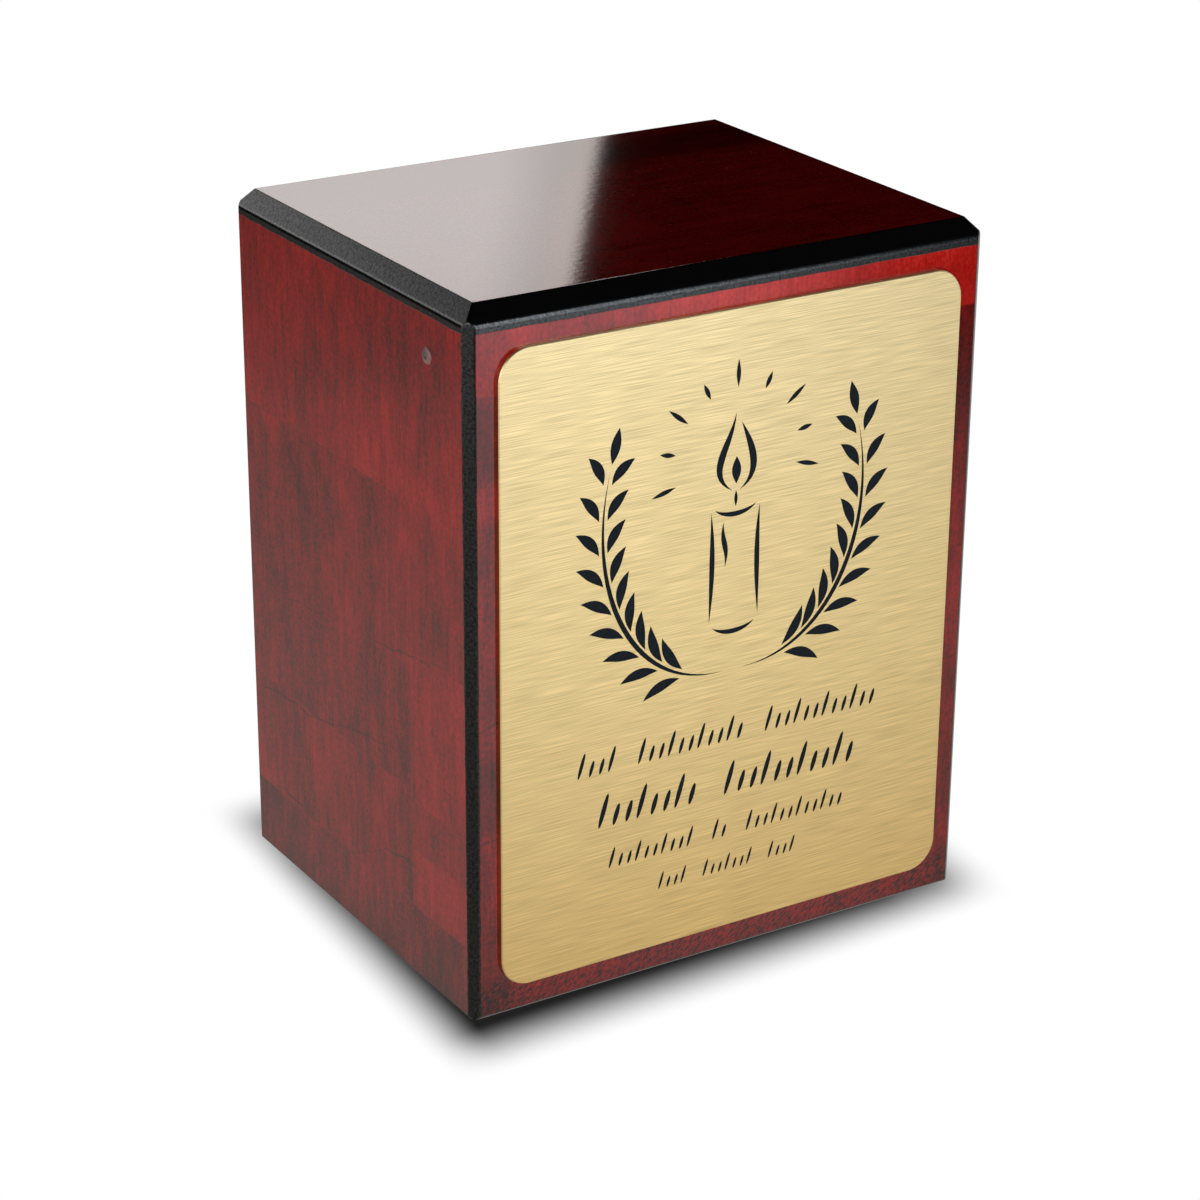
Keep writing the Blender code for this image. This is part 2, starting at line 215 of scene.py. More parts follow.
def lacquered_veneer():
    """Rosewood-stained veneer under polished polyester lacquer: deep, mottled red under a hard mirror gloss.

    The lacquer gives sharp reflections that a faint orange peel ripples. The black paint of the edges is duller,
    leathery, and a little ragged where it stops, as a brush leaves it.
    """
    finish, tree, output = new_finish("Lacquered rosewood veneer")
    across_along = add(tree, "UVMap", uv_map="veneer")
    flat = add(tree, "SeparateXYZ", {0: across_along})

    # The sheets' edges wander by about half a millimetre
    wander = add(tree, "TexNoise", {"Vector": across_along, "Scale": 60.0, "Detail": 4.0, "Roughness": 0.6})
    wander = add(tree, "VectorMath", {0: wander.outputs["Color"], 1: (-0.5, -0.5, -0.5)}, operation="ADD")
    place = add(tree, "VectorMath", {0: wander, 1: (0.003, 0.003, 0.0), 2: across_along}, operation="MULTIPLY_ADD")
    chamfer_foot = CASE_TOP - TOP_CHAMFER_DROP
    tone = board = 0.0
    for wall, left, right, upper, lower, shade, fade in VENEER_PATCHES:
        start = STRIPS[wall] * STRIP
        if wall == "top":
            along = np.array([upper, lower]) / 1000
        else:
            along = chamfer_foot - np.array([lower, upper]) / 1000
        low, high = np.column_stack([start + np.array([left, right]) / 1000, along])
        away = add(tree, "VectorMath", {0: place, 1: (*(low + high) / 2, 0.0)}, operation="SUBTRACT")
        away = add(tree, "VectorMath", {0: away}, operation="ABSOLUTE")
        inside = add(tree, "VectorMath", {0: (*(high - low) / 2, 0.0), 1: away}, operation="SUBTRACT")
        inside = add(tree, "SeparateXYZ", {0: inside})
        inside = add(tree, "Math", {0: inside.outputs["X"], 1: inside.outputs["Y"]}, operation="MINIMUM")
        patch = add(
            tree, "MapRange",
            {"Value": inside, "From Min": -fade / 2000, "From Max": fade / 2000, "To Min": 0.0, "To Max": shade},
            interpolation_type="SMOOTHSTEP",
        )
        tone = add(tree, "Math", {0: tone, 1: patch}, operation="ADD")
        if fade < 1:
            board = add(tree, "Math", {0: board, 1: patch}, operation="ADD")

    # Every sheet is cut from another board, so the figure breaks off at its edge. The soft patches are only colour.
    # Figure: size across and along the grain in metres, detail, strength, and where it starts to show
    sheet = add(tree, "CombineXYZ", {"X": flat.outputs["X"], "Y": flat.outputs["Y"], "Z": board})
    figure = (
        (0.0065, 0.0160, 4.0, 0.40, 0.0),
        (0.0240, 0.0420, 2.0, 0.40, 0.0),
        (0.0026, 0.0400, 2.0, 0.25, 0.0),
        (0.0008, 0.0120, 2.0, 0.24, 0.0),
        (0.0011, 0.0014, 2.0, 0.46, 0.0),
        (0.0012, 0.0110, 1.0, -0.8, 0.62),
    )
    lightness = add(tree, "Math", {0: tone, 1: 0.50}, operation="ADD")
    for across, along, detail, strength, threshold in figure:
        stretched = add(tree, "Mapping", {"Vector": sheet, "Scale": (1 / across, 1 / along, 30.0)})
        cloud = add(tree, "TexNoise", {"Vector": stretched, "Scale": 1.0, "Detail": detail, "Roughness": 0.6})
        shown = add(
            tree, "Math", {0: cloud, 1: threshold or 0.5}, operation="SUBTRACT", use_clamp=threshold > 0
        )
        lightness = add(tree, "Math", {0: shown, 1: strength, 2: lightness}, operation="MULTIPLY_ADD")

    # Growth rings: thin dark lines about 17 mm apart that climb an eighth of the way and fade in and out
    drift = add(tree, "TexNoise", {"Vector": across_along, "Scale": 22.0, "Detail": 3.0})
    climb = add(tree, "Math", {0: flat.outputs["X"], 1: -0.125, 2: flat.outputs["Y"]}, operation="MULTIPLY_ADD")
    climb = add(tree, "Math", {0: drift, 1: 0.022, 2: climb}, operation="MULTIPLY_ADD")
    ring = add(tree, "Math", {0: climb, 1: 0.017}, operation="PINGPONG")
    ring = add(
        tree, "MapRange", {"Value": ring, "From Min": 0.0005, "From Max": 0.0, "To Min": 0.0, "To Max": 1.0},
        interpolation_type="SMOOTHSTEP",
    )
    strength = add(tree, "TexNoise", {"Vector": across_along, "Scale": 30.0, "Detail": 2.0})
    strength = add(
        tree, "MapRange", {"Value": strength, "From Min": 0.40, "From Max": 0.60, "To Min": 0.0, "To Max": 0.20}
    )
    # The sheets at the top of a wall are cut the other way and show no rings
    low_down = add(
        tree, "MapRange",
        {"Value": flat.outputs["Y"], "From Min": 0.132, "From Max": 0.118, "To Min": 0.0, "To Max": 1.0},
    )
    ring = add(tree, "Math", {0: ring, 1: strength}, operation="MULTIPLY")
    ring = add(tree, "Math", {0: ring, 1: low_down}, operation="MULTIPLY")
    lightness = add(tree, "Math", {0: lightness, 1: ring}, operation="SUBTRACT")

    # The strip under the plate is cut across the grain: close, slanting dark pores
    slanting = add(tree, "Mapping", {"Vector": across_along, "Rotation": (0.0, 0.0, math.radians(-38))})
    slanting = add(tree, "Mapping", {"Vector": slanting, "Scale": (1 / 0.0022, 1 / 0.0006, 1.0)})
    pores = add(tree, "TexNoise", {"Vector": slanting, "Scale": 1.0, "Detail": 2.0})
    pores = add(
        tree, "MapRange", {"Value": pores, "From Min": 0.48, "From Max": 0.60, "To Min": 0.0, "To Max": 0.34}
    )
    strip_height = add(
        tree, "MapRange",
        {"Value": flat.outputs["Y"], "From Min": 0.014, "From Max": 0.009, "To Min": 0.0, "To Max": 1.0},
    )
    front_only = add(tree, "Math", {0: flat.outputs["X"], 1: 0.2}, operation="LESS_THAN")
    pores = add(tree, "Math", {0: pores, 1: strip_height}, operation="MULTIPLY")
    pores = add(tree, "Math", {0: pores, 1: front_only}, operation="MULTIPLY")
    lightness = add(tree, "Math", {0: lightness, 1: pores}, operation="SUBTRACT")
    stain = add(
        tree, "ValToRGB", {"Fac": lightness},
        stops=((0.05, "#240403"), (0.30, "#5c0a08"), (0.50, "#860f0b"), (0.72, "#a61a14"), (0.95, "#c03026")),
    )

    # Black paint: on the top chamfers and 2 mm down the walls, on the corner chamfers, and on the foot
    point = add(tree, "TexCoord").outputs["Object"]
    from_middle = add(tree, "VectorMath", {0: point}, operation="ABSOLUTE")
    from_faces = add(
        tree, "VectorMath", {0: (HALF_WIDTH, HALF_DEPTH, CASE_TOP), 1: from_middle}, operation="SUBTRACT"
    )
    from_side, from_front, from_top = add(tree, "SeparateXYZ", {0: from_faces}).outputs
    beside = add(tree, "Math", {0: from_side, 1: from_front}, operation="MINIMUM")
    beside = add(tree, "Math", {0: beside, 1: TOP_CHAMFER_INSET + 0.0004}, operation="SUBTRACT")
    below = add(tree, "Math", {0: from_top, 1: TOP_CHAMFER_DROP + 0.0023}, operation="SUBTRACT")
    rim = add(tree, "Math", {0: beside, 1: below}, operation="MAXIMUM")
    corner = add(tree, "Math", {0: from_side, 1: from_front}, operation="MAXIMUM")
    corner = add(tree, "Math", {0: corner, 1: CORNER_CHAMFER + 0.0003}, operation="SUBTRACT")
    foot = add(tree, "SeparateXYZ", {0: point})
    foot = add(tree, "Math", {0: foot.outputs["Z"], 1: 0.0009}, operation="SUBTRACT")
    edge = add(tree, "Math", {0: rim, 1: corner}, operation="MINIMUM")
    edge = add(tree, "Math", {0: edge, 1: foot}, operation="MINIMUM")
    ragged = add(tree, "TexNoise", {"Vector": point, "Scale": 160.0, "Detail": 4.0})
    ragged = add(tree, "Math", {0: ragged, 1: 0.5}, operation="SUBTRACT")
    edge = add(tree, "Math", {0: ragged, 1: 0.0008, 2: edge}, operation="MULTIPLY_ADD")
    painted = add(
        tree, "MapRange",
        {"Value": edge, "From Min": 0.00015, "From Max": -0.00015, "To Min": 0.0, "To Max": 1.0},
        interpolation_type="SMOOTHSTEP",
    )
    colour = add(tree, "MixRGB", {"Fac": painted, "Color1": stain, "Color2": linear("#050505")})
    gloss = add(
        tree, "MapRange", {"Value": painted, "From Min": 0.0, "From Max": 1.0, "To Min": 0.05, "To Max": 0.17}
    )

    # Orange peel of the sprayed lacquer: ripples 2 mm long and a few thousandths of a millimetre high.
    # The paint's leathery skin is finer and deeper
    peel = add(tree, "TexNoise", {"Vector": point, "Scale": 500.0, "Detail": 2.0})
    leather = add(tree, "TexNoise", {"Vector": point, "Scale": 1300.0, "Detail": 3.0})
    gleam = add(
        tree, "MapRange", {"Value": leather, "From Min": 0.36, "From Max": 0.66, "To Min": 0.30, "To Max": 0.76}
    )
    gleam = add(tree, "MixRGB", {"Fac": painted, "Color1": (0.5, 0.5, 0.5, 1.0), "Color2": gleam})
    leather = add(tree, "Math", {0: leather, 1: painted}, operation="MULTIPLY")
    skin = add(tree, "Math", {0: leather, 1: 6.0, 2: peel}, operation="MULTIPLY_ADD")
    rippled = add(tree, "Bump", {"Height": skin, "Strength": 1.0, "Distance": 0.0000035})
    shader = add(
        tree, "BsdfPrincipled",
        {"Base Color": colour, "Roughness": gloss, "IOR": 1.5, "Specular IOR Level": gleam, "Normal": rippled},
    )
    tree.links.new(shader.outputs[0], output.inputs["Surface"])
    return finish


def raw_fibreboard():
    """Bare medium-density fibreboard inside the case: pale brown, matt and finely felted."""
    finish, tree, output = new_finish("Raw fibreboard")
    point = add(tree, "TexCoord").outputs["Object"]
    felt = add(tree, "TexNoise", {"Vector": point, "Scale": 900.0, "Detail": 4.0})
    colour = add(tree, "ValToRGB", {"Fac": felt}, stops=((0.3, "#8a6a48"), (0.7, "#b8946a")))
    rough = add(tree, "Bump", {"Height": felt, "Strength": 0.4, "Distance": 0.0002})
    shader = add(tree, "BsdfPrincipled", {"Base Color": colour, "Roughness": 0.9, "Normal": rough})
    tree.links.new(shader.outputs[0], output.inputs["Surface"])
    return finish


# The inside runs from the middle of the ceiling down the walls and round the rebate to the rim that the box stands on
inside_rings = [
    plan(WALL_THICKNESS, TOP_UNDERSIDE),
    plan(WALL_THICKNESS, REBATE_DEPTH),
    plan(REBATE_LIP, REBATE_DEPTH),
]
# The outside runs round the foot and up the wall, and over the chamfer to the top
chamfer_foot = CASE_TOP - TOP_CHAMFER_DROP
outside = filleted(
    ((REBATE_LIP, 0), (FOOT_EASING, 0), (0, FOOT_EASING), (0, chamfer_foot), (TOP_CHAMFER_INSET, CASE_TOP),
     (TOP_CHAMFER_INSET + 0.002, CASE_TOP)),
    (FOOT_RADIUS, FOOT_RADIUS, CHAMFER_FOOT_RADIUS, CHAMFER_TOP_RADIUS),
)
# More rings low on the chamfer, where the corner chamfer runs out into a point
up_chamfer = np.linspace(0.25, 0.55, 7)[:, None]
more = (1 - up_chamfer) * (0, chamfer_foot) + up_chamfer * (TOP_CHAMFER_INSET, CASE_TOP)
past = np.searchsorted(outside[:, 1], more[0, 1])
outside = np.vstack([outside[:past], more, outside[past:]])
outside_rings = [
    plan(
        inset, z, max(CORNER_CHAMFER - 2 * inset, 0),
        np.interp(inset, (0, TOP_CHAMFER_INSET), (UPRIGHT_RADIUS, HIP_RADIUS)),
    )
    for inset, z in outside[1:]
]
case_rings = [*inside_rings, plan(REBATE_LIP, 0), *outside_rings]
ring_points = len(case_rings[0])
case_faces = ring_bands(len(case_rings), ring_points).tolist()
last_ring = ring_points * (len(case_rings) - 1)
case_faces += [list(range(ring_points - 1, -1, -1)), list(range(last_ring, last_ring + ring_points))]
raw_faces = len(inside_rings) * ring_points
case_finishes = [1] * raw_faces + [0] * (len(case_faces) - raw_faces - 2) + [1, 0]
case = new_piece(
    "lacquered_case", np.vstack(case_rings), case_faces, [lacquered_veneer(), raw_fibreboard()], case_finishes
)

# Pattern map of the veneer, in metres: along the wall and up it, and on the top from the front and along the grain
corner_points = np.empty(len(case.data.vertices) * 3)
case.data.vertices.foreach_get("co", corner_points)
loop_vertex = np.empty(len(case.data.loops), int)
case.data.loops.foreach_get("vertex_index", loop_vertex)
loop_points = corner_points.reshape(-1, 3)[loop_vertex]
face_normals = np.empty(len(case.data.polygons) * 3)
case.data.polygons.foreach_get("normal", face_normals)
face_sizes = np.empty(len(case.data.polygons), int)
case.data.polygons.foreach_get("loop_total", face_sizes)
loop_normals = np.repeat(face_normals.reshape(-1, 3), face_sizes, axis=0)
outwards = np.array([(0, -1, 0), (-1, 0, 0), (1, 0, 0), (0, 1, 0)])
to_the_right = np.array([(1, 0, 0), (0, -1, 0), (0, 1, 0), (-1, 0, 0)])
half_lengths = np.array([HALF_WIDTH, HALF_DEPTH, HALF_DEPTH, HALF_WIDTH])
wall = np.argmax(loop_normals @ outwards.T, axis=1)
across = np.sum(loop_points * to_the_right[wall], axis=1) + half_lengths[wall] + wall * STRIP
veneer_map = np.column_stack([across, loop_points[:, 2]])
on_top = loop_normals[:, 2] > 0.9
veneer_map[on_top] = np.column_stack(
    [loop_points[on_top, 1] + HALF_DEPTH + STRIPS["top"] * STRIP, loop_points[on_top, 0]]
)
case.data.uv_layers.new(name="veneer").data.foreach_set("uv", veneer_map.astype(np.float32).ravel())

case.data.shade_smooth()
case.data.set_sharp_from_angle(angle=math.radians(50))
# The flats keep flat normals, so that the lacquer mirrors without a bend
flats = case.modifiers.new("Flat faces stay flat", "WEIGHTED_NORMAL")
flats.mode = "FACE_AREA"
flats.weight = 100
flats.keep_sharp = True
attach(case, "root")
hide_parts("front_panel", "back_panel", "left_side_panel", "right_side_panel", "top_panel")


# ---- Base panel
# A loose panel of fibreboard in the walls' rebate, rolled with matt black paint that leaves a fine stipple.
# It comes off to fill the box.


def rolled_black_paint():
    """Matt black paint from a foam roller: nearly black, dull, with a close stipple."""
    finish, tree, output = new_finish("Rolled matt black paint")
    point = add(tree, "TexCoord").outputs["Object"]
    stipple = add(tree, "TexNoise", {"Vector": point, "Scale": 1400.0, "Detail": 3.0})
    colour = add(tree, "ValToRGB", {"Fac": stipple}, stops=((0.3, "#171615"), (0.7, "#24221f")))
    dull = add(
        tree, "MapRange", {"Value": stipple, "From Min": 0.3, "From Max": 0.7, "To Min": 0.55, "To Max": 0.7}
    )
    raised = add(tree, "Bump", {"Height": stipple, "Strength": 0.5, "Distance": 0.0001})
    shader = add(tree, "BsdfPrincipled", {"Base Color": colour, "Roughness": dull, "Normal": raised})
    tree.links.new(shader.outputs[0], output.inputs["Surface"])
    return finish


base_paint = rolled_black_paint()
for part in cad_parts["base_panel"].material_slots:
    part.material = base_paint


# ---- Base screws
# Four countersunk wood screws of zinc-plated steel, with a cross recess in the head.


def zinc_plate():
    """Bright zinc plate on a rolled screw: pale bluish metal with soft clouds in its gloss."""
    finish, tree, output = new_finish("Bright zinc plate")
    point = add(tree, "TexCoord").outputs["Object"]
    clouds = add(tree, "TexNoise", {"Vector": point, "Scale": 1100.0, "Detail": 3.0})
    colour = add(tree, "ValToRGB", {"Fac": clouds}, stops=((0.3, "#b9bcc0"), (0.7, "#d9dbdc")))
    gloss = add(
        tree, "MapRange", {"Value": clouds, "From Min": 0.3, "From Max": 0.7, "To Min": 0.25, "To Max": 0.42}
    )
    shader = add(tree, "BsdfPrincipled", {"Base Color": colour, "Metallic": 1.0, "Roughness": gloss})
    tree.links.new(shader.outputs[0], output.inputs["Surface"])
    return finish


screw_zinc = zinc_plate()
for number in range(1, 5):
    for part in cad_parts[f"base_screw_{number}"].material_slots:
        part.material = screw_zinc


# ---- Name plate
# A sheet of brass 1.2 mm thick with rounded corners, brushed along its width and stuck on the front wall.
# The picture and the rows of strokes are cut 0.3 mm deep and filled with black enamel to just under the face.

PLATE_LOW, PLATE_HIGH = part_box("name_plate")
PLATE_HALF_WIDTH = (PLATE_HIGH.x - PLATE_LOW.x) / 2
PLATE_HALF_HEIGHT = (PLATE_HIGH.z - PLATE_LOW.z) / 2
PLATE_MIDDLE = (PLATE_HIGH.z + PLATE_LOW.z) / 2
PLATE_CORNER_RADIUS = 0.0095
PLATE_BEVEL = 0.0003
PLATE_BACK = -HALF_DEPTH - 0.00005
CORNER_STEPS = 16
ENAMEL_DROP = 0.00012
PICTURE_HEIGHT = 0.098
PICTURE_DROP = 0.0645
LEAF_GAP = 0.023

# Each row of strokes: drop below the plate's top edge, stroke height, pitch, and strokes in each group
STROKE_ROWS = (
    (0.1286, 0.0080, 0.0034, (4, 11, 12)),
    (0.1446, 0.0108, 0.00435, (8, 11)),
    (0.1604, 0.0066, 0.0030, (10, 2, 12)),
    (0.1723, 0.0056, 0.0026, (4, 7, 4)),
)
GROUP_GAP_PITCHES = 2
STROKE_LEAN = 0.30
STROKE_STOUTNESS = 0.075
SHORT_STROKE = 0.62
STROKE_POINTS = 15


def plate_outline(inset):
    """The plate's rounded outline about its middle: four quarter circles, each about its corner's centre."""
    turn = np.linspace(0, math.pi / 2, CORNER_STEPS + 1) + np.arange(4)[:, None] * math.pi / 2
    reach = PLATE_CORNER_RADIUS - inset
    right, above = np.array([1, -1, -1, 1])[:, None], np.array([1, 1, -1, -1])[:, None]
    x = right * (PLATE_HALF_WIDTH - PLATE_CORNER_RADIUS) + reach * np.cos(turn)
    z = above * (PLATE_HALF_HEIGHT - PLATE_CORNER_RADIUS) + reach * np.sin(turn)
    return np.column_stack([x.ravel(), z.ravel()])


def curve(corners, count=STROKE_POINTS):
    """Points along a cubic Bezier curve: the four corners weighted by the Bernstein polynomials."""
    t = np.linspace(0, 1, count)[:, None]
    start, leave, arrive, end = np.asarray(corners, float)
    return (1 - t) ** 3 * start + 3 * (1 - t) ** 2 * t * leave + 3 * (1 - t) * t**2 * arrive + t**3 * end


def brush_stroke(line, half_width, blunt=1.0):
    """Outline of a brush stroke along a line: half its width is the sine of half a turn, to the power of blunt."""
    along = np.gradient(line, axis=0)
    aside = np.column_stack([-along[:, 1], along[:, 0]]) / np.linalg.norm(along, axis=1)[:, None]
    swell = half_width * np.sin(np.linspace(0, math.pi, len(line)))[:, None].clip(0, 1) ** blunt
    return np.vstack([(line - aside * swell), (line + aside * swell)[-2:0:-1]])


def tick(start, angle, length, half_width, bend=0.0):
    """A short brush stroke from a point, in a direction, bowed sideways by a share of its length."""
    ahead = np.array([math.cos(angle), math.sin(angle)]) * length
    aside = np.array([-ahead[1], ahead[0]]) * bend
    start = np.asarray(start, float)
    return brush_stroke(
        curve((start, start + ahead / 3 + aside, start + ahead * 2 / 3 + aside, start + ahead)), half_width
    )


def branch():
    """The right-hand leafy branch, in shares of the picture's height: a bowed stem, pairs of leaves, a tip leaf."""
    stem = curve(((0.035, -0.46), (0.34, -0.47), (0.52, -0.12), (0.43, 0.24)), 61)
    headings = np.unwrap(np.arctan2(*np.gradient(stem, axis=0).T[::-1]))
    strokes = [brush_stroke(stem[::2], 0.008)]
    for pair, place in enumerate(range(9, 58, 6)):
        length = 0.135 - 0.004 * pair
        for side in (-1, 1):
            heading = headings[place] + side * 0.68
            foot = stem[place] + LEAF_GAP * np.array([math.cos(heading), math.sin(heading)])
            strokes.append(tick(foot, heading, length, 0.0165, -0.12 * side))
    tip = headings[-1]
    strokes.append(tick(stem[-1] + LEAF_GAP * np.array([math.cos(tip), math.sin(tip)]), tip, 0.11, 0.0165))
    return strokes


def candle():
    """A lit candle, in shares of the picture's height: sides, rim, foot, a run of wax, wick, flame and rays."""
    strokes = [
        brush_stroke(curve(((-0.085, 0.05), (-0.075, -0.05), (-0.078, -0.18), (-0.086, -0.30))), 0.009),
        brush_stroke(curve(((0.085, 0.05), (0.075, -0.05), (0.078, -0.18), (0.086, -0.30))), 0.009),
        brush_stroke(curve(((-0.072, 0.055), (-0.04, 0.025), (0.04, 0.025), (0.072, 0.055))), 0.008),
        brush_stroke(curve(((-0.074, -0.315), (-0.04, -0.345), (0.04, -0.345), (0.074, -0.315))), 0.008),
        brush_stroke(curve(((-0.040, 0.015), (-0.052, -0.05), (-0.020, -0.06), (-0.034, -0.13))), 0.009),
        tick((0.0, 0.055), math.pi / 2, 0.05, 0.006),
        brush_stroke(curve(((-0.012, 0.105), (-0.115, 0.17), (-0.020, 0.24), (-0.004, 0.345))), 0.012),
        brush_stroke(curve(((0.012, 0.105), (0.095, 0.15), (0.050, 0.24), (0.014, 0.315))), 0.012),
        tick((0.0, 0.125), math.pi / 2, 0.085, 0.016),
    ]
    for ray in range(9):
        angle = math.radians(-14 + 26 * ray)
        start = np.array([0, 0.205]) + 0.215 * np.array([math.cos(angle), math.sin(angle)])
        strokes.append(tick(start, angle, 0.055 if ray % 2 else 0.085, 0.0075))
    return strokes


def stroke_row(drop, height, pitch, groups):
    """One row of leaning strokes in groups, centred on the plate: every third stroke of a group is a long one."""
    place = np.arange(sum(groups) + GROUP_GAP_PITCHES * (len(groups) - 1))
    in_group = np.concatenate(
        [np.r_[np.arange(group), np.full(GROUP_GAP_PITCHES, -1)] for group in groups]
    )[:len(place)]
    foot = PLATE_HALF_HEIGHT - drop - height / 2
    strokes = []
    for spot, number in zip(place[in_group >= 0], in_group[in_group >= 0]):
        tall = height if number % 3 == 0 else height * SHORT_STROKE
        start = ((spot - place[-1] / 2) * pitch - tall * STROKE_LEAN / 2, foot)
        end = (start[0] + tall * STROKE_LEAN, foot + tall)
        strokes.append(brush_stroke(np.linspace(start, end, STROKE_POINTS), height * STROKE_STOUTNESS, 0.45))
    return strokes


right_branch = branch()
left_branch = [(stroke * (-1, 1))[::-1] for stroke in right_branch]
picture_middle = (0, PLATE_HALF_HEIGHT - PICTURE_DROP)
strokes = [stroke * PICTURE_HEIGHT + picture_middle for stroke in right_branch + left_branch + candle()]
for row in STROKE_ROWS:
    strokes += stroke_row(*row)


def engraved_plate(outline, strokes, finishes):
    """The plate's mesh: its face cut along the strokes, the strokes' floors set back, the rim and the back.

    A constrained Delaunay triangulation of the outline and the strokes gives the triangles of the face and of the
    floors. Points of the same stroke on the face and on the floor are joined by the groove's walls.
    """
    flat = [outline, *strokes]
    ends = np.cumsum([len(loop) for loop in flat])
    loops = [np.arange(end - len(loop), end) for loop, end in zip(flat, ends)]
    points, _, triangles, came_from, _, covers = geometry.delaunay_2d_cdt(
        [Vector(point) for point in np.vstack(flat)], [], [loop.tolist() for loop in loops], 1, 1e-9
    )
    new_number = np.full(ends[-1], -1)
    for number, old in enumerate(came_from):
        new_number[old] = number
    points = np.array(points)
    triangles = np.array(triangles)
    in_stroke = np.array([max(cover) > 0 for cover in covers])
    count = len(points)
    face_y, floor_y = PLATE_LOW.y, PLATE_LOW.y + ENAMEL_DROP
    rim = plate_outline(0.0)
    rows = [(points, face_y), (points, floor_y), (rim, face_y + PLATE_BEVEL), (rim, PLATE_BACK)]
    places = np.vstack([
        np.column_stack([flat[:, 0], np.full(len(flat), y), flat[:, 1] + PLATE_MIDDLE]) for flat, y in rows
    ])
    walls = []
    for loop in loops[1:]:
        here = new_number[loop]
        after = np.roll(here, -1)
        walls.append(np.column_stack([here, after, after + count, here + count]))
    walls = np.vstack(walls)
    face_rim = new_number[loops[0]]
    front_rim = 2 * count + np.arange(len(rim))
    back_rim = front_rim + len(rim)
    around = [
        np.column_stack([near, np.roll(near, -1), np.roll(far, -1), far])
        for near, far in ((face_rim, front_rim), (front_rim, back_rim))
    ]
    brass_faces = [*triangles[~in_stroke], *np.vstack(around), back_rim]
    enamel_faces = [*(triangles[in_stroke] + count), *walls]
    made = new_piece(
        "engraved_name_plate", places, brass_faces + enamel_faces, finishes,
        [0] * len(brass_faces) + [1] * len(enamel_faces),
    )
    shape = bmesh.new()
    shape.from_mesh(made.data)
    bmesh.ops.delete(shape, geom=[vert for vert in shape.verts if not vert.link_faces], context="VERTS")
    shape.to_mesh(made.data)
    shape.free()
    return made


def brushed_brass():
    """Brass sheet brushed along its width with an abrasive belt: pale gold with fine, short, level streaks.

    The streaks spread its reflections up and down. Its colour is painted a little paler at the top than at the foot,
    a painted gradient of light.
    """
    finish, tree, output = new_finish("Brushed brass")
    point = add(tree, "TexCoord").outputs["Object"]
    # Scratches of the belt, drawn 0.2 to 0.3 mm wide, coarser than real, so that they show: length, width, share
    streaks = 0.0
    for length, width, share in ((0.024, 0.00028, 0.35), (0.013, 0.00016, 0.65)):
        stretched = add(tree, "Mapping", {"Vector": point, "Scale": (1 / length, 0.0, 1 / width)})
        lines = add(tree, "TexNoise", {"Vector": stretched, "Scale": 1.0, "Detail": 0.0})
        streaks = add(tree, "Math", {0: lines, 1: share, 2: streaks}, operation="MULTIPLY_ADD")
    # Painted light: the colour is paler towards the top and deeper towards the foot
    height = add(tree, "SeparateXYZ", {0: point})
    height = add(
        tree, "MapRange",
        {"Value": height.outputs["Z"], "From Min": 0.0, "From Max": CASE_TOP, "To Min": 0.0, "To Max": 1.0},
    )
    tone = add(tree, "ValToRGB", {"Fac": height}, stops=((0.0, "#ceac6f"), (0.5, "#e0c58d"), (1.0, "#e6ce9c")))
    shade = add(
        tree, "MapRange", {"Value": streaks, "From Min": 0.37, "From Max": 0.63, "To Min": 0.84, "To Max": 1.15}
    )
    colour = add(tree, "MixRGB", {"Fac": 1.0, "Color1": tone, "Color2": shade}, blend_type="MULTIPLY")
    gloss = add(
        tree, "MapRange", {"Value": streaks, "From Min": 0.35, "From Max": 0.65, "To Min": 0.38, "To Max": 0.34}
    )
    scratched = add(tree, "Bump", {"Height": streaks, "Strength": 0.10, "Distance": 0.00003})
    brushed = add(tree, "Tangent", direction_type="RADIAL", axis="Z")
    shader = add(
        tree, "BsdfPrincipled",
        {
            "Base Color": colour, "Metallic": 1.0, "Roughness": gloss, "Anisotropic": 0.5,
            "Anisotropic Rotation": 0.25, "Tangent": brushed, "Normal": scratched,
        },
    )
    tree.links.new(shader.outputs[0], output.inputs["Surface"])
    return finish


def black_enamel():
    """Air-dried black enamel in the grooves: blue-black, its tone and gloss varying in small soft clouds."""
    finish, tree, output = new_finish("Black enamel filling")
    point = add(tree, "TexCoord").outputs["Object"]
    pooled = add(tree, "TexNoise", {"Vector": point, "Scale": 700.0, "Detail": 2.0})
    colour = add(tree, "ValToRGB", {"Fac": pooled}, stops=((0.3, "#0a1018"), (0.7, "#111a22")))
    gloss = add(
        tree, "MapRange", {"Value": pooled, "From Min": 0.3, "From Max": 0.7, "To Min": 0.30, "To Max": 0.45}
    )
    shader = add(
        tree, "BsdfPrincipled", {"Base Color": colour, "Roughness": gloss, "IOR": 1.5, "Specular IOR Level": 0.08}
    )
    tree.links.new(shader.outputs[0], output.inputs["Surface"])
    return finish


plate = engraved_plate(plate_outline(PLATE_BEVEL), strokes, [brushed_brass(), black_enamel()])
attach(plate, "root")
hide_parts("name_plate")


# ---- Side plug
# A small moulded plug in a blind hole near the top of the left wall, lacquered over with the wood.
# Its head is a low dome with a shallow dimple where the mould was gated.

PLUG_LOW, PLUG_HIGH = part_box("side_plug")
PLUG_RADIUS = (PLUG_HIGH.y - PLUG_LOW.y) / 2
PLUG_CROWN = -HALF_WIDTH - PLUG_LOW.x
DIMPLE_RADIUS = 0.0012
DIMPLE_DEPTH = 0.00025
PLUG_SIDES = 48


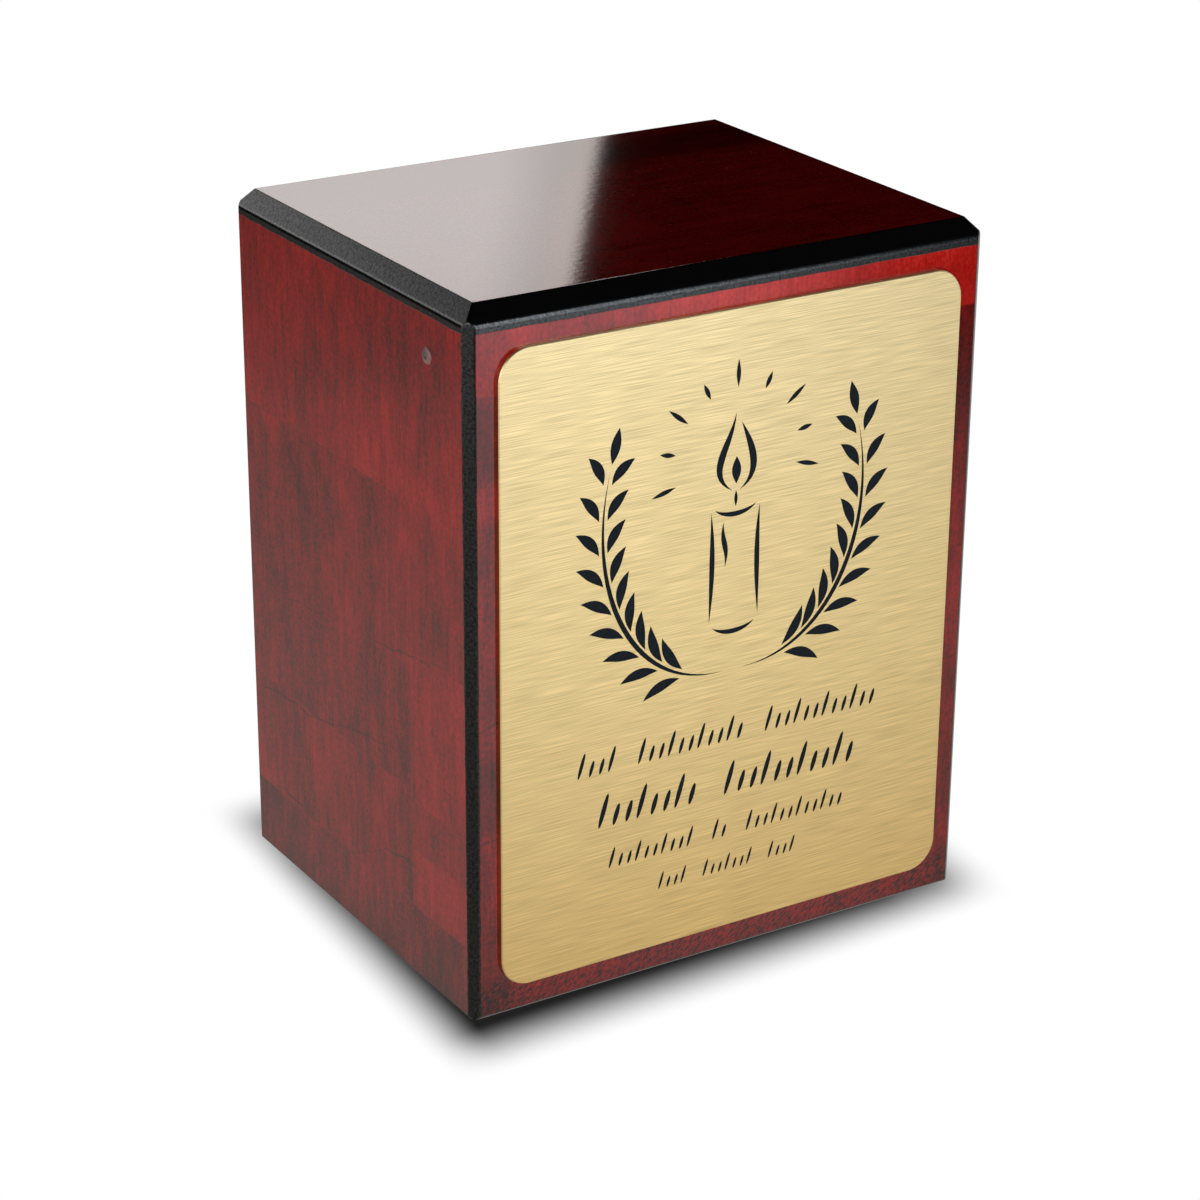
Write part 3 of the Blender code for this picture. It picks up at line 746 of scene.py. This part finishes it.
def plug_surface(count):
    """Rings of the plug from the middle of its head to the middle of its buried end.

    The head's height over the wall is the crown times the root of 1 less the squared share of the radius, less a
    dimple that falls off as a squared cosine.
    """
    share = np.sin(np.linspace(0, math.pi / 2, count))
    rise = PLUG_CROWN * np.sqrt(np.clip(1 - share**2, 0, 1))
    near = np.clip(share * PLUG_RADIUS / DIMPLE_RADIUS, 0, 1)
    rise -= DIMPLE_DEPTH * np.cos(near * math.pi / 2) ** 2
    radius = np.r_[share * PLUG_RADIUS, PLUG_RADIUS * 0.92, PLUG_RADIUS * 0.92, 0]
    out = np.r_[rise, -0.0003, -(PLUG_HIGH.x + HALF_WIDTH), -(PLUG_HIGH.x + HALF_WIDTH)]
    turn = np.linspace(0, 2 * math.pi, PLUG_SIDES, endpoint=False)
    middle = (PLUG_LOW + PLUG_HIGH) / 2
    x = np.repeat(-HALF_WIDTH - out, PLUG_SIDES)
    y = middle.y + np.outer(radius, np.cos(turn)).ravel()
    z = middle.z + np.outer(radius, np.sin(turn)).ravel()
    return np.column_stack([x, y, z]), ring_bands(len(radius), PLUG_SIDES)


def lacquered_plastic():
    """Grey moulded plastic under lacquer: greyish pink with a soft gloss, with painted shade in the middle and a
    painted highlight ring round it.
    """
    finish, tree, output = new_finish("Lacquered grey plastic")
    point = add(tree, "TexCoord").outputs["Object"]
    middle = (PLUG_LOW + PLUG_HIGH) / 2
    # Painted shade and highlight: by distance from the plug's middle, darker in the middle and lighter in a ring
    # round it
    away = add(tree, "VectorMath", {0: point, 1: (-HALF_WIDTH, middle.y, middle.z)}, operation="DISTANCE")
    cloudy = add(tree, "TexNoise", {"Vector": point, "Scale": 900.0, "Detail": 3.0})
    wavy = add(
        tree, "Math", {0: cloudy, 1: 0.0012, 2: away.outputs["Value"]}, operation="MULTIPLY_ADD"
    )
    share = add(
        tree, "MapRange", {"Value": wavy, "From Min": 0.0006, "From Max": 0.0033, "To Min": 0.0, "To Max": 1.0}
    )
    colour = add(
        tree, "ValToRGB", {"Fac": share},
        stops=((0.0, "#4a3f3e"), (0.42, "#564644"), (0.62, "#7a5a56"), (1.0, "#6a4440")),
    )
    shader = add(tree, "BsdfPrincipled", {"Base Color": colour, "Roughness": 0.35, "IOR": 1.5})
    tree.links.new(shader.outputs[0], output.inputs["Surface"])
    return finish


plug_points, plug_faces = plug_surface(14)
plug = new_piece("domed_side_plug", plug_points, plug_faces, [lacquered_plastic()])
plug.data.shade_smooth()
plug.data.set_sharp_from_angle(angle=math.radians(40))
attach(plug, "root")
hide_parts("side_plug")


# ---- Studio
# A white sweep that the eye can't tell from the room, and low soft lights in front and behind.
# The lacquer mirrors a large bright card behind the case on its left, a lamp low in front and a dark flag beside it.

FLOOR_RADIUS = 8.0
FLOOR_SIDES = 96

# The soft shadow round the foot, with darker and wider edges towards the front left: for each edge its direction
# outwards, its distance from the middle, and half the width over which it fades
SHADOW_EDGES = (
    ((0.0450, -0.9990), 0.0817, 0.0137),
    ((-0.9982, 0.0599), 0.0917, 0.0105),
    ((0.9903, -0.1386), 0.1000, 0.0133),
    ((0.0, 1.0), 0.0880, 0.0140),
)


def white_sweep():
    """A sweep that is white all over but for the soft shadow close round the case.

    The shadow is painted on the sweep and not cast. It is the product of one smooth step across each of its edges.
    """
    finish, tree, output = new_finish("White paper sweep")
    point = add(tree, "TexCoord").outputs["Object"]
    shadow = 0.985
    for outwards, distance, fade in SHADOW_EDGES:
        beyond = add(tree, "VectorMath", {0: point, 1: (*outwards, 0.0)}, operation="DOT_PRODUCT").outputs["Value"]
        within = add(
            tree, "MapRange",
            {"Value": beyond, "From Min": distance + fade, "From Max": distance - fade, "To Min": 0.0, "To Max": 1.0},
            interpolation_type="SMOOTHSTEP",
        )
        shadow = add(tree, "Math", {0: within, 1: shadow}, operation="MULTIPLY")
    # It thins out on the right and behind
    x, y, _ = add(tree, "SeparateXYZ", {0: point}).outputs
    for aside, start, end in ((x, 0.060, 0.120), (y, 0.040, 0.100)):
        thinner = add(
            tree, "MapRange", {"Value": aside, "From Min": start, "From Max": end, "To Min": 1.0, "To Max": 0.55}
        )
        shadow = add(tree, "Math", {0: shadow, 1: thinner}, operation="MULTIPLY")
    left = add(tree, "Math", {0: 1.0, 1: shadow}, operation="SUBTRACT")
    light = add(tree, "Emission", {"Color": (1.0, 1.0, 1.0, 1.0), "Strength": left})
    tree.links.new(light.outputs[0], output.inputs["Surface"])
    return finish


turn = np.linspace(0, 2 * math.pi, FLOOR_SIDES, endpoint=False)
rim_points = FLOOR_RADIUS * np.column_stack([np.cos(turn), np.sin(turn), np.zeros(FLOOR_SIDES)])
sweep = bpy.data.meshes.new("sweep")
sweep.from_pydata(rim_points.tolist(), [], [list(range(FLOOR_SIDES))])
sweep.materials.append(white_sweep())
floor = bpy.data.objects.new("floor", sweep)
bpy.context.scene.collection.objects.link(floor)
floor.visible_glossy = False
floor.visible_shadow = False


def soft_light(name, place, target, size, power):
    """A square soft light at a place, turned to a target. It is left out of mirror images."""
    lamp = bpy.data.lights.new(name, "AREA")
    lamp.shape = "SQUARE"
    lamp.size = size
    lamp.energy = power
    made = bpy.data.objects.new(name, lamp)
    bpy.context.scene.collection.objects.link(made)
    made.location = place
    made.rotation_euler = (Vector(target) - Vector(place)).to_track_quat("-Z", "Y").to_euler()
    made.visible_camera = False
    made.visible_glossy = False


soft_light("key", (-0.85, -1.35, 0.28), (0, 0, 0.1), 0.9, 16.0)
soft_light("fill", (1.3, 1.1, 0.30), (0, 0, 0.1), 1.2, 14.0)


def studio_room():
    """The room: white to the eye. Mirror images find the card, the dim ground, the lamp with its flag, and boxes."""
    room = bpy.data.worlds.new("Studio room")
    room.use_nodes = True
    tree = room.node_tree
    tree.nodes.clear()
    look = add(tree, "TexCoord").outputs["Generated"]
    look_x, look_y, look_z = add(tree, "SeparateXYZ", {0: look}).outputs
    level = add(
        tree, "MapRange", {"Value": look_z, "From Min": -1.0, "From Max": 1.0, "To Min": 0.0, "To Max": 1.0}
    )

    # The card's right edge stands nearly upright, 31.6 degrees to the right of straight back
    past_edge = add(
        tree, "VectorMath", {0: look, 1: (-0.81108, 0.55808, -0.17520)}, operation="DOT_PRODUCT"
    ).outputs["Value"]
    card = add(
        tree, "ValToRGB", {"Fac": past_edge},
        stops=(
            (0.0, "#000000"), (0.002, "#b7afab"), (0.007, "#b5ada8"), (0.013, "#b0aba9"), (0.030, "#c4bebc"),
            (0.12, "#c2bdbb"), (0.35, "#bebab8"), (0.70, "#b9b7b7"),
        ),
    )
    card_height = add(
        tree, "ValToRGB", {"Fac": look_z},
        stops=(
            (0.10, 0.0), (0.20, 0.64), (0.247, 0.71), (0.275, 0.84), (0.30, 0.88), (0.365, 0.50), (0.43, 0.15),
            (0.75, 0.0),
        ),
    )
    card = add(tree, "MixRGB", {"Fac": 1.0, "Color1": card, "Color2": card_height}, blend_type="MULTIPLY")

    # The ground: dark at the horizon and brighter towards the case, and less so behind it
    ground_behind = add(
        tree, "ValToRGB", {"Fac": level},
        stops=((0.0, 0.09), (0.30, 0.096), (0.335, 0.070), (0.345, 0.048), (0.365, 0.026), (0.45, 0.0)),
    )
    ground_in_front = add(
        tree, "ValToRGB", {"Fac": level},
        stops=((0.0, 0.15), (0.28, 0.13), (0.31, 0.15), (0.335, 0.08), (0.355, 0.0)),
    )
    in_front = add(
        tree, "MapRange", {"Value": look_y, "From Min": 0.15, "From Max": -0.40, "To Min": 0.0, "To Max": 1.0},
        interpolation_type="SMOOTHSTEP",
    )
    on_the_left = add(
        tree, "MapRange", {"Value": look_x, "From Min": -0.70, "From Max": -0.45, "To Min": 0.5, "To Max": 1.0}
    )
    ground_in_front = add(
        tree, "MixRGB", {"Fac": 1.0, "Color1": ground_in_front, "Color2": on_the_left}, blend_type="MULTIPLY"
    )
    ground = add(tree, "MixRGB", {"Fac": in_front, "Color1": ground_behind, "Color2": ground_in_front})
    ground = add(
        tree, "MixRGB", {"Fac": 1.0, "Color1": ground, "Color2": (1.0, 0.98, 0.91, 1.0)}, blend_type="MULTIPLY"
    )

    # The lamp in front, with the leaning edge of the flag on its right, 147.5 degrees round from straight back
    flag = math.radians(147.5)
    past_flag = add(
        tree, "VectorMath", {0: look, 1: (math.cos(flag), -math.sin(flag), -0.10)}, operation="DOT_PRODUCT"
    ).outputs["Value"]
    lamp_height = add(
        tree, "ValToRGB", {"Fac": level},
        stops=(
            (0.25, 0.0), (0.26, 0.020), (0.29, 0.060), (0.31, 0.062), (0.335, 0.10), (0.355, 0.20), (0.40, 0.42),
            (0.62, 0.50), (0.67, 1.0), (0.80, 1.2), (0.84, 0.0),
        ),
    )
    right_of_lamp = add(
        tree, "MapRange", {"Value": past_flag, "From Min": -0.052, "From Max": 0.034, "To Min": 0.0, "To Max": 1.0}
    )
    left_of_lamp = add(
        tree, "MapRange", {"Value": past_flag, "From Min": 0.09, "From Max": 0.21, "To Min": 1.0, "To Max": 0.0},
        interpolation_type="SMOOTHSTEP",
    )
    open_lamp = add(tree, "Math", {0: right_of_lamp, 1: left_of_lamp}, operation="MULTIPLY")
    open_lamp = add(tree, "Math", {0: open_lamp, 1: in_front}, operation="MULTIPLY")
    lamp = add(tree, "MixRGB", {"Fac": 1.0, "Color1": lamp_height, "Color2": open_lamp}, blend_type="MULTIPLY")
    lamp = add(
        tree, "MixRGB", {"Fac": 1.0, "Color1": lamp, "Color2": (1.84, 2.0, 2.16, 1.0)}, blend_type="MULTIPLY"
    )

    # A dim box in front, which the plate mirrors from straight ahead, and two far out on the sides, which the
    # upright chamfers mirror too
    box_in_front = add(
        tree, "MapRange", {"Value": past_flag, "From Min": 0.34, "From Max": 0.44, "To Min": 0.0, "To Max": 0.2},
        interpolation_type="SMOOTHSTEP",
    )
    box_in_front = add(tree, "Math", {0: box_in_front, 1: in_front}, operation="MULTIPLY")
    low_box = add(
        tree, "ValToRGB", {"Fac": level}, stops=((0.39, 0.0), (0.43, 1.0), (0.62, 0.9), (0.74, 0.0))
    )
    box_in_front = add(
        tree, "MixRGB", {"Fac": 1.0, "Color1": box_in_front, "Color2": low_box}, blend_type="MULTIPLY"
    )
    sideways = add(tree, "Math", {0: look_x}, operation="ABSOLUTE")
    boxes = add(
        tree, "MapRange", {"Value": sideways, "From Min": 0.70, "From Max": 0.82, "To Min": 0.0, "To Max": 0.16},
        interpolation_type="SMOOTHSTEP",
    )
    box_height = add(
        tree, "ValToRGB", {"Fac": level}, stops=((0.33, 0.0), (0.345, 1.0), (0.75, 0.8), (0.85, 0.0))
    )
    boxes = add(tree, "MixRGB", {"Fac": 1.0, "Color1": boxes, "Color2": box_height}, blend_type="MULTIPLY")

    mirrored = card
    for more in (ground, lamp, box_in_front, boxes):
        mirrored = add(tree, "MixRGB", {"Fac": 1.0, "Color1": mirrored, "Color2": more}, blend_type="ADD")
    mirrored = add(tree, "Background", {"Color": mirrored, "Strength": 5.0})
    seen = add(tree, "Background", {"Color": (1.0, 1.0, 1.0, 1.0), "Strength": 1.0})
    eye = add(tree, "LightPath").outputs["Is Camera Ray"]
    both = add(tree, "MixShader", {0: eye, 1: mirrored, 2: seen})
    add(tree, "OutputWorld", {"Surface": both})
    room.cycles_visibility.diffuse = False
    return room


scene = bpy.context.scene
scene.world = studio_room()
scene.view_settings.view_transform = "Standard"
scene.view_settings.look = "None"


# ---- Camera
# A long lens at the front left, looking down on the case.

AZIMUTH, ELEVATION, ROLL = math.radians(-31.82), math.radians(22.67), math.radians(0.4)
ASIDE, RAISED, DISTANCE = -0.00071, -0.017415, 0.99457

back = Vector((
    math.sin(AZIMUTH) * math.cos(ELEVATION), -math.cos(AZIMUTH) * math.cos(ELEVATION), math.sin(ELEVATION)
))
right = Vector((0, 0, 1)).cross(back).normalized()
up = back.cross(right)
eye_place = Vector((0, 0, CASE_TOP / 2)) + ASIDE * right + RAISED * up + DISTANCE * back
lens = bpy.data.cameras.new("camera")
lens.sensor_width = 36.0
lens.lens = 97.584
lens.clip_start, lens.clip_end = 0.01, 50.0
camera = bpy.data.objects.new("camera", lens)
scene.collection.objects.link(camera)
turned = Matrix((right, up, back)).transposed().to_4x4() @ Matrix.Rotation(ROLL, 4, "Z")
camera.matrix_world = Matrix.Translation(eye_place) @ turned
scene.camera = camera
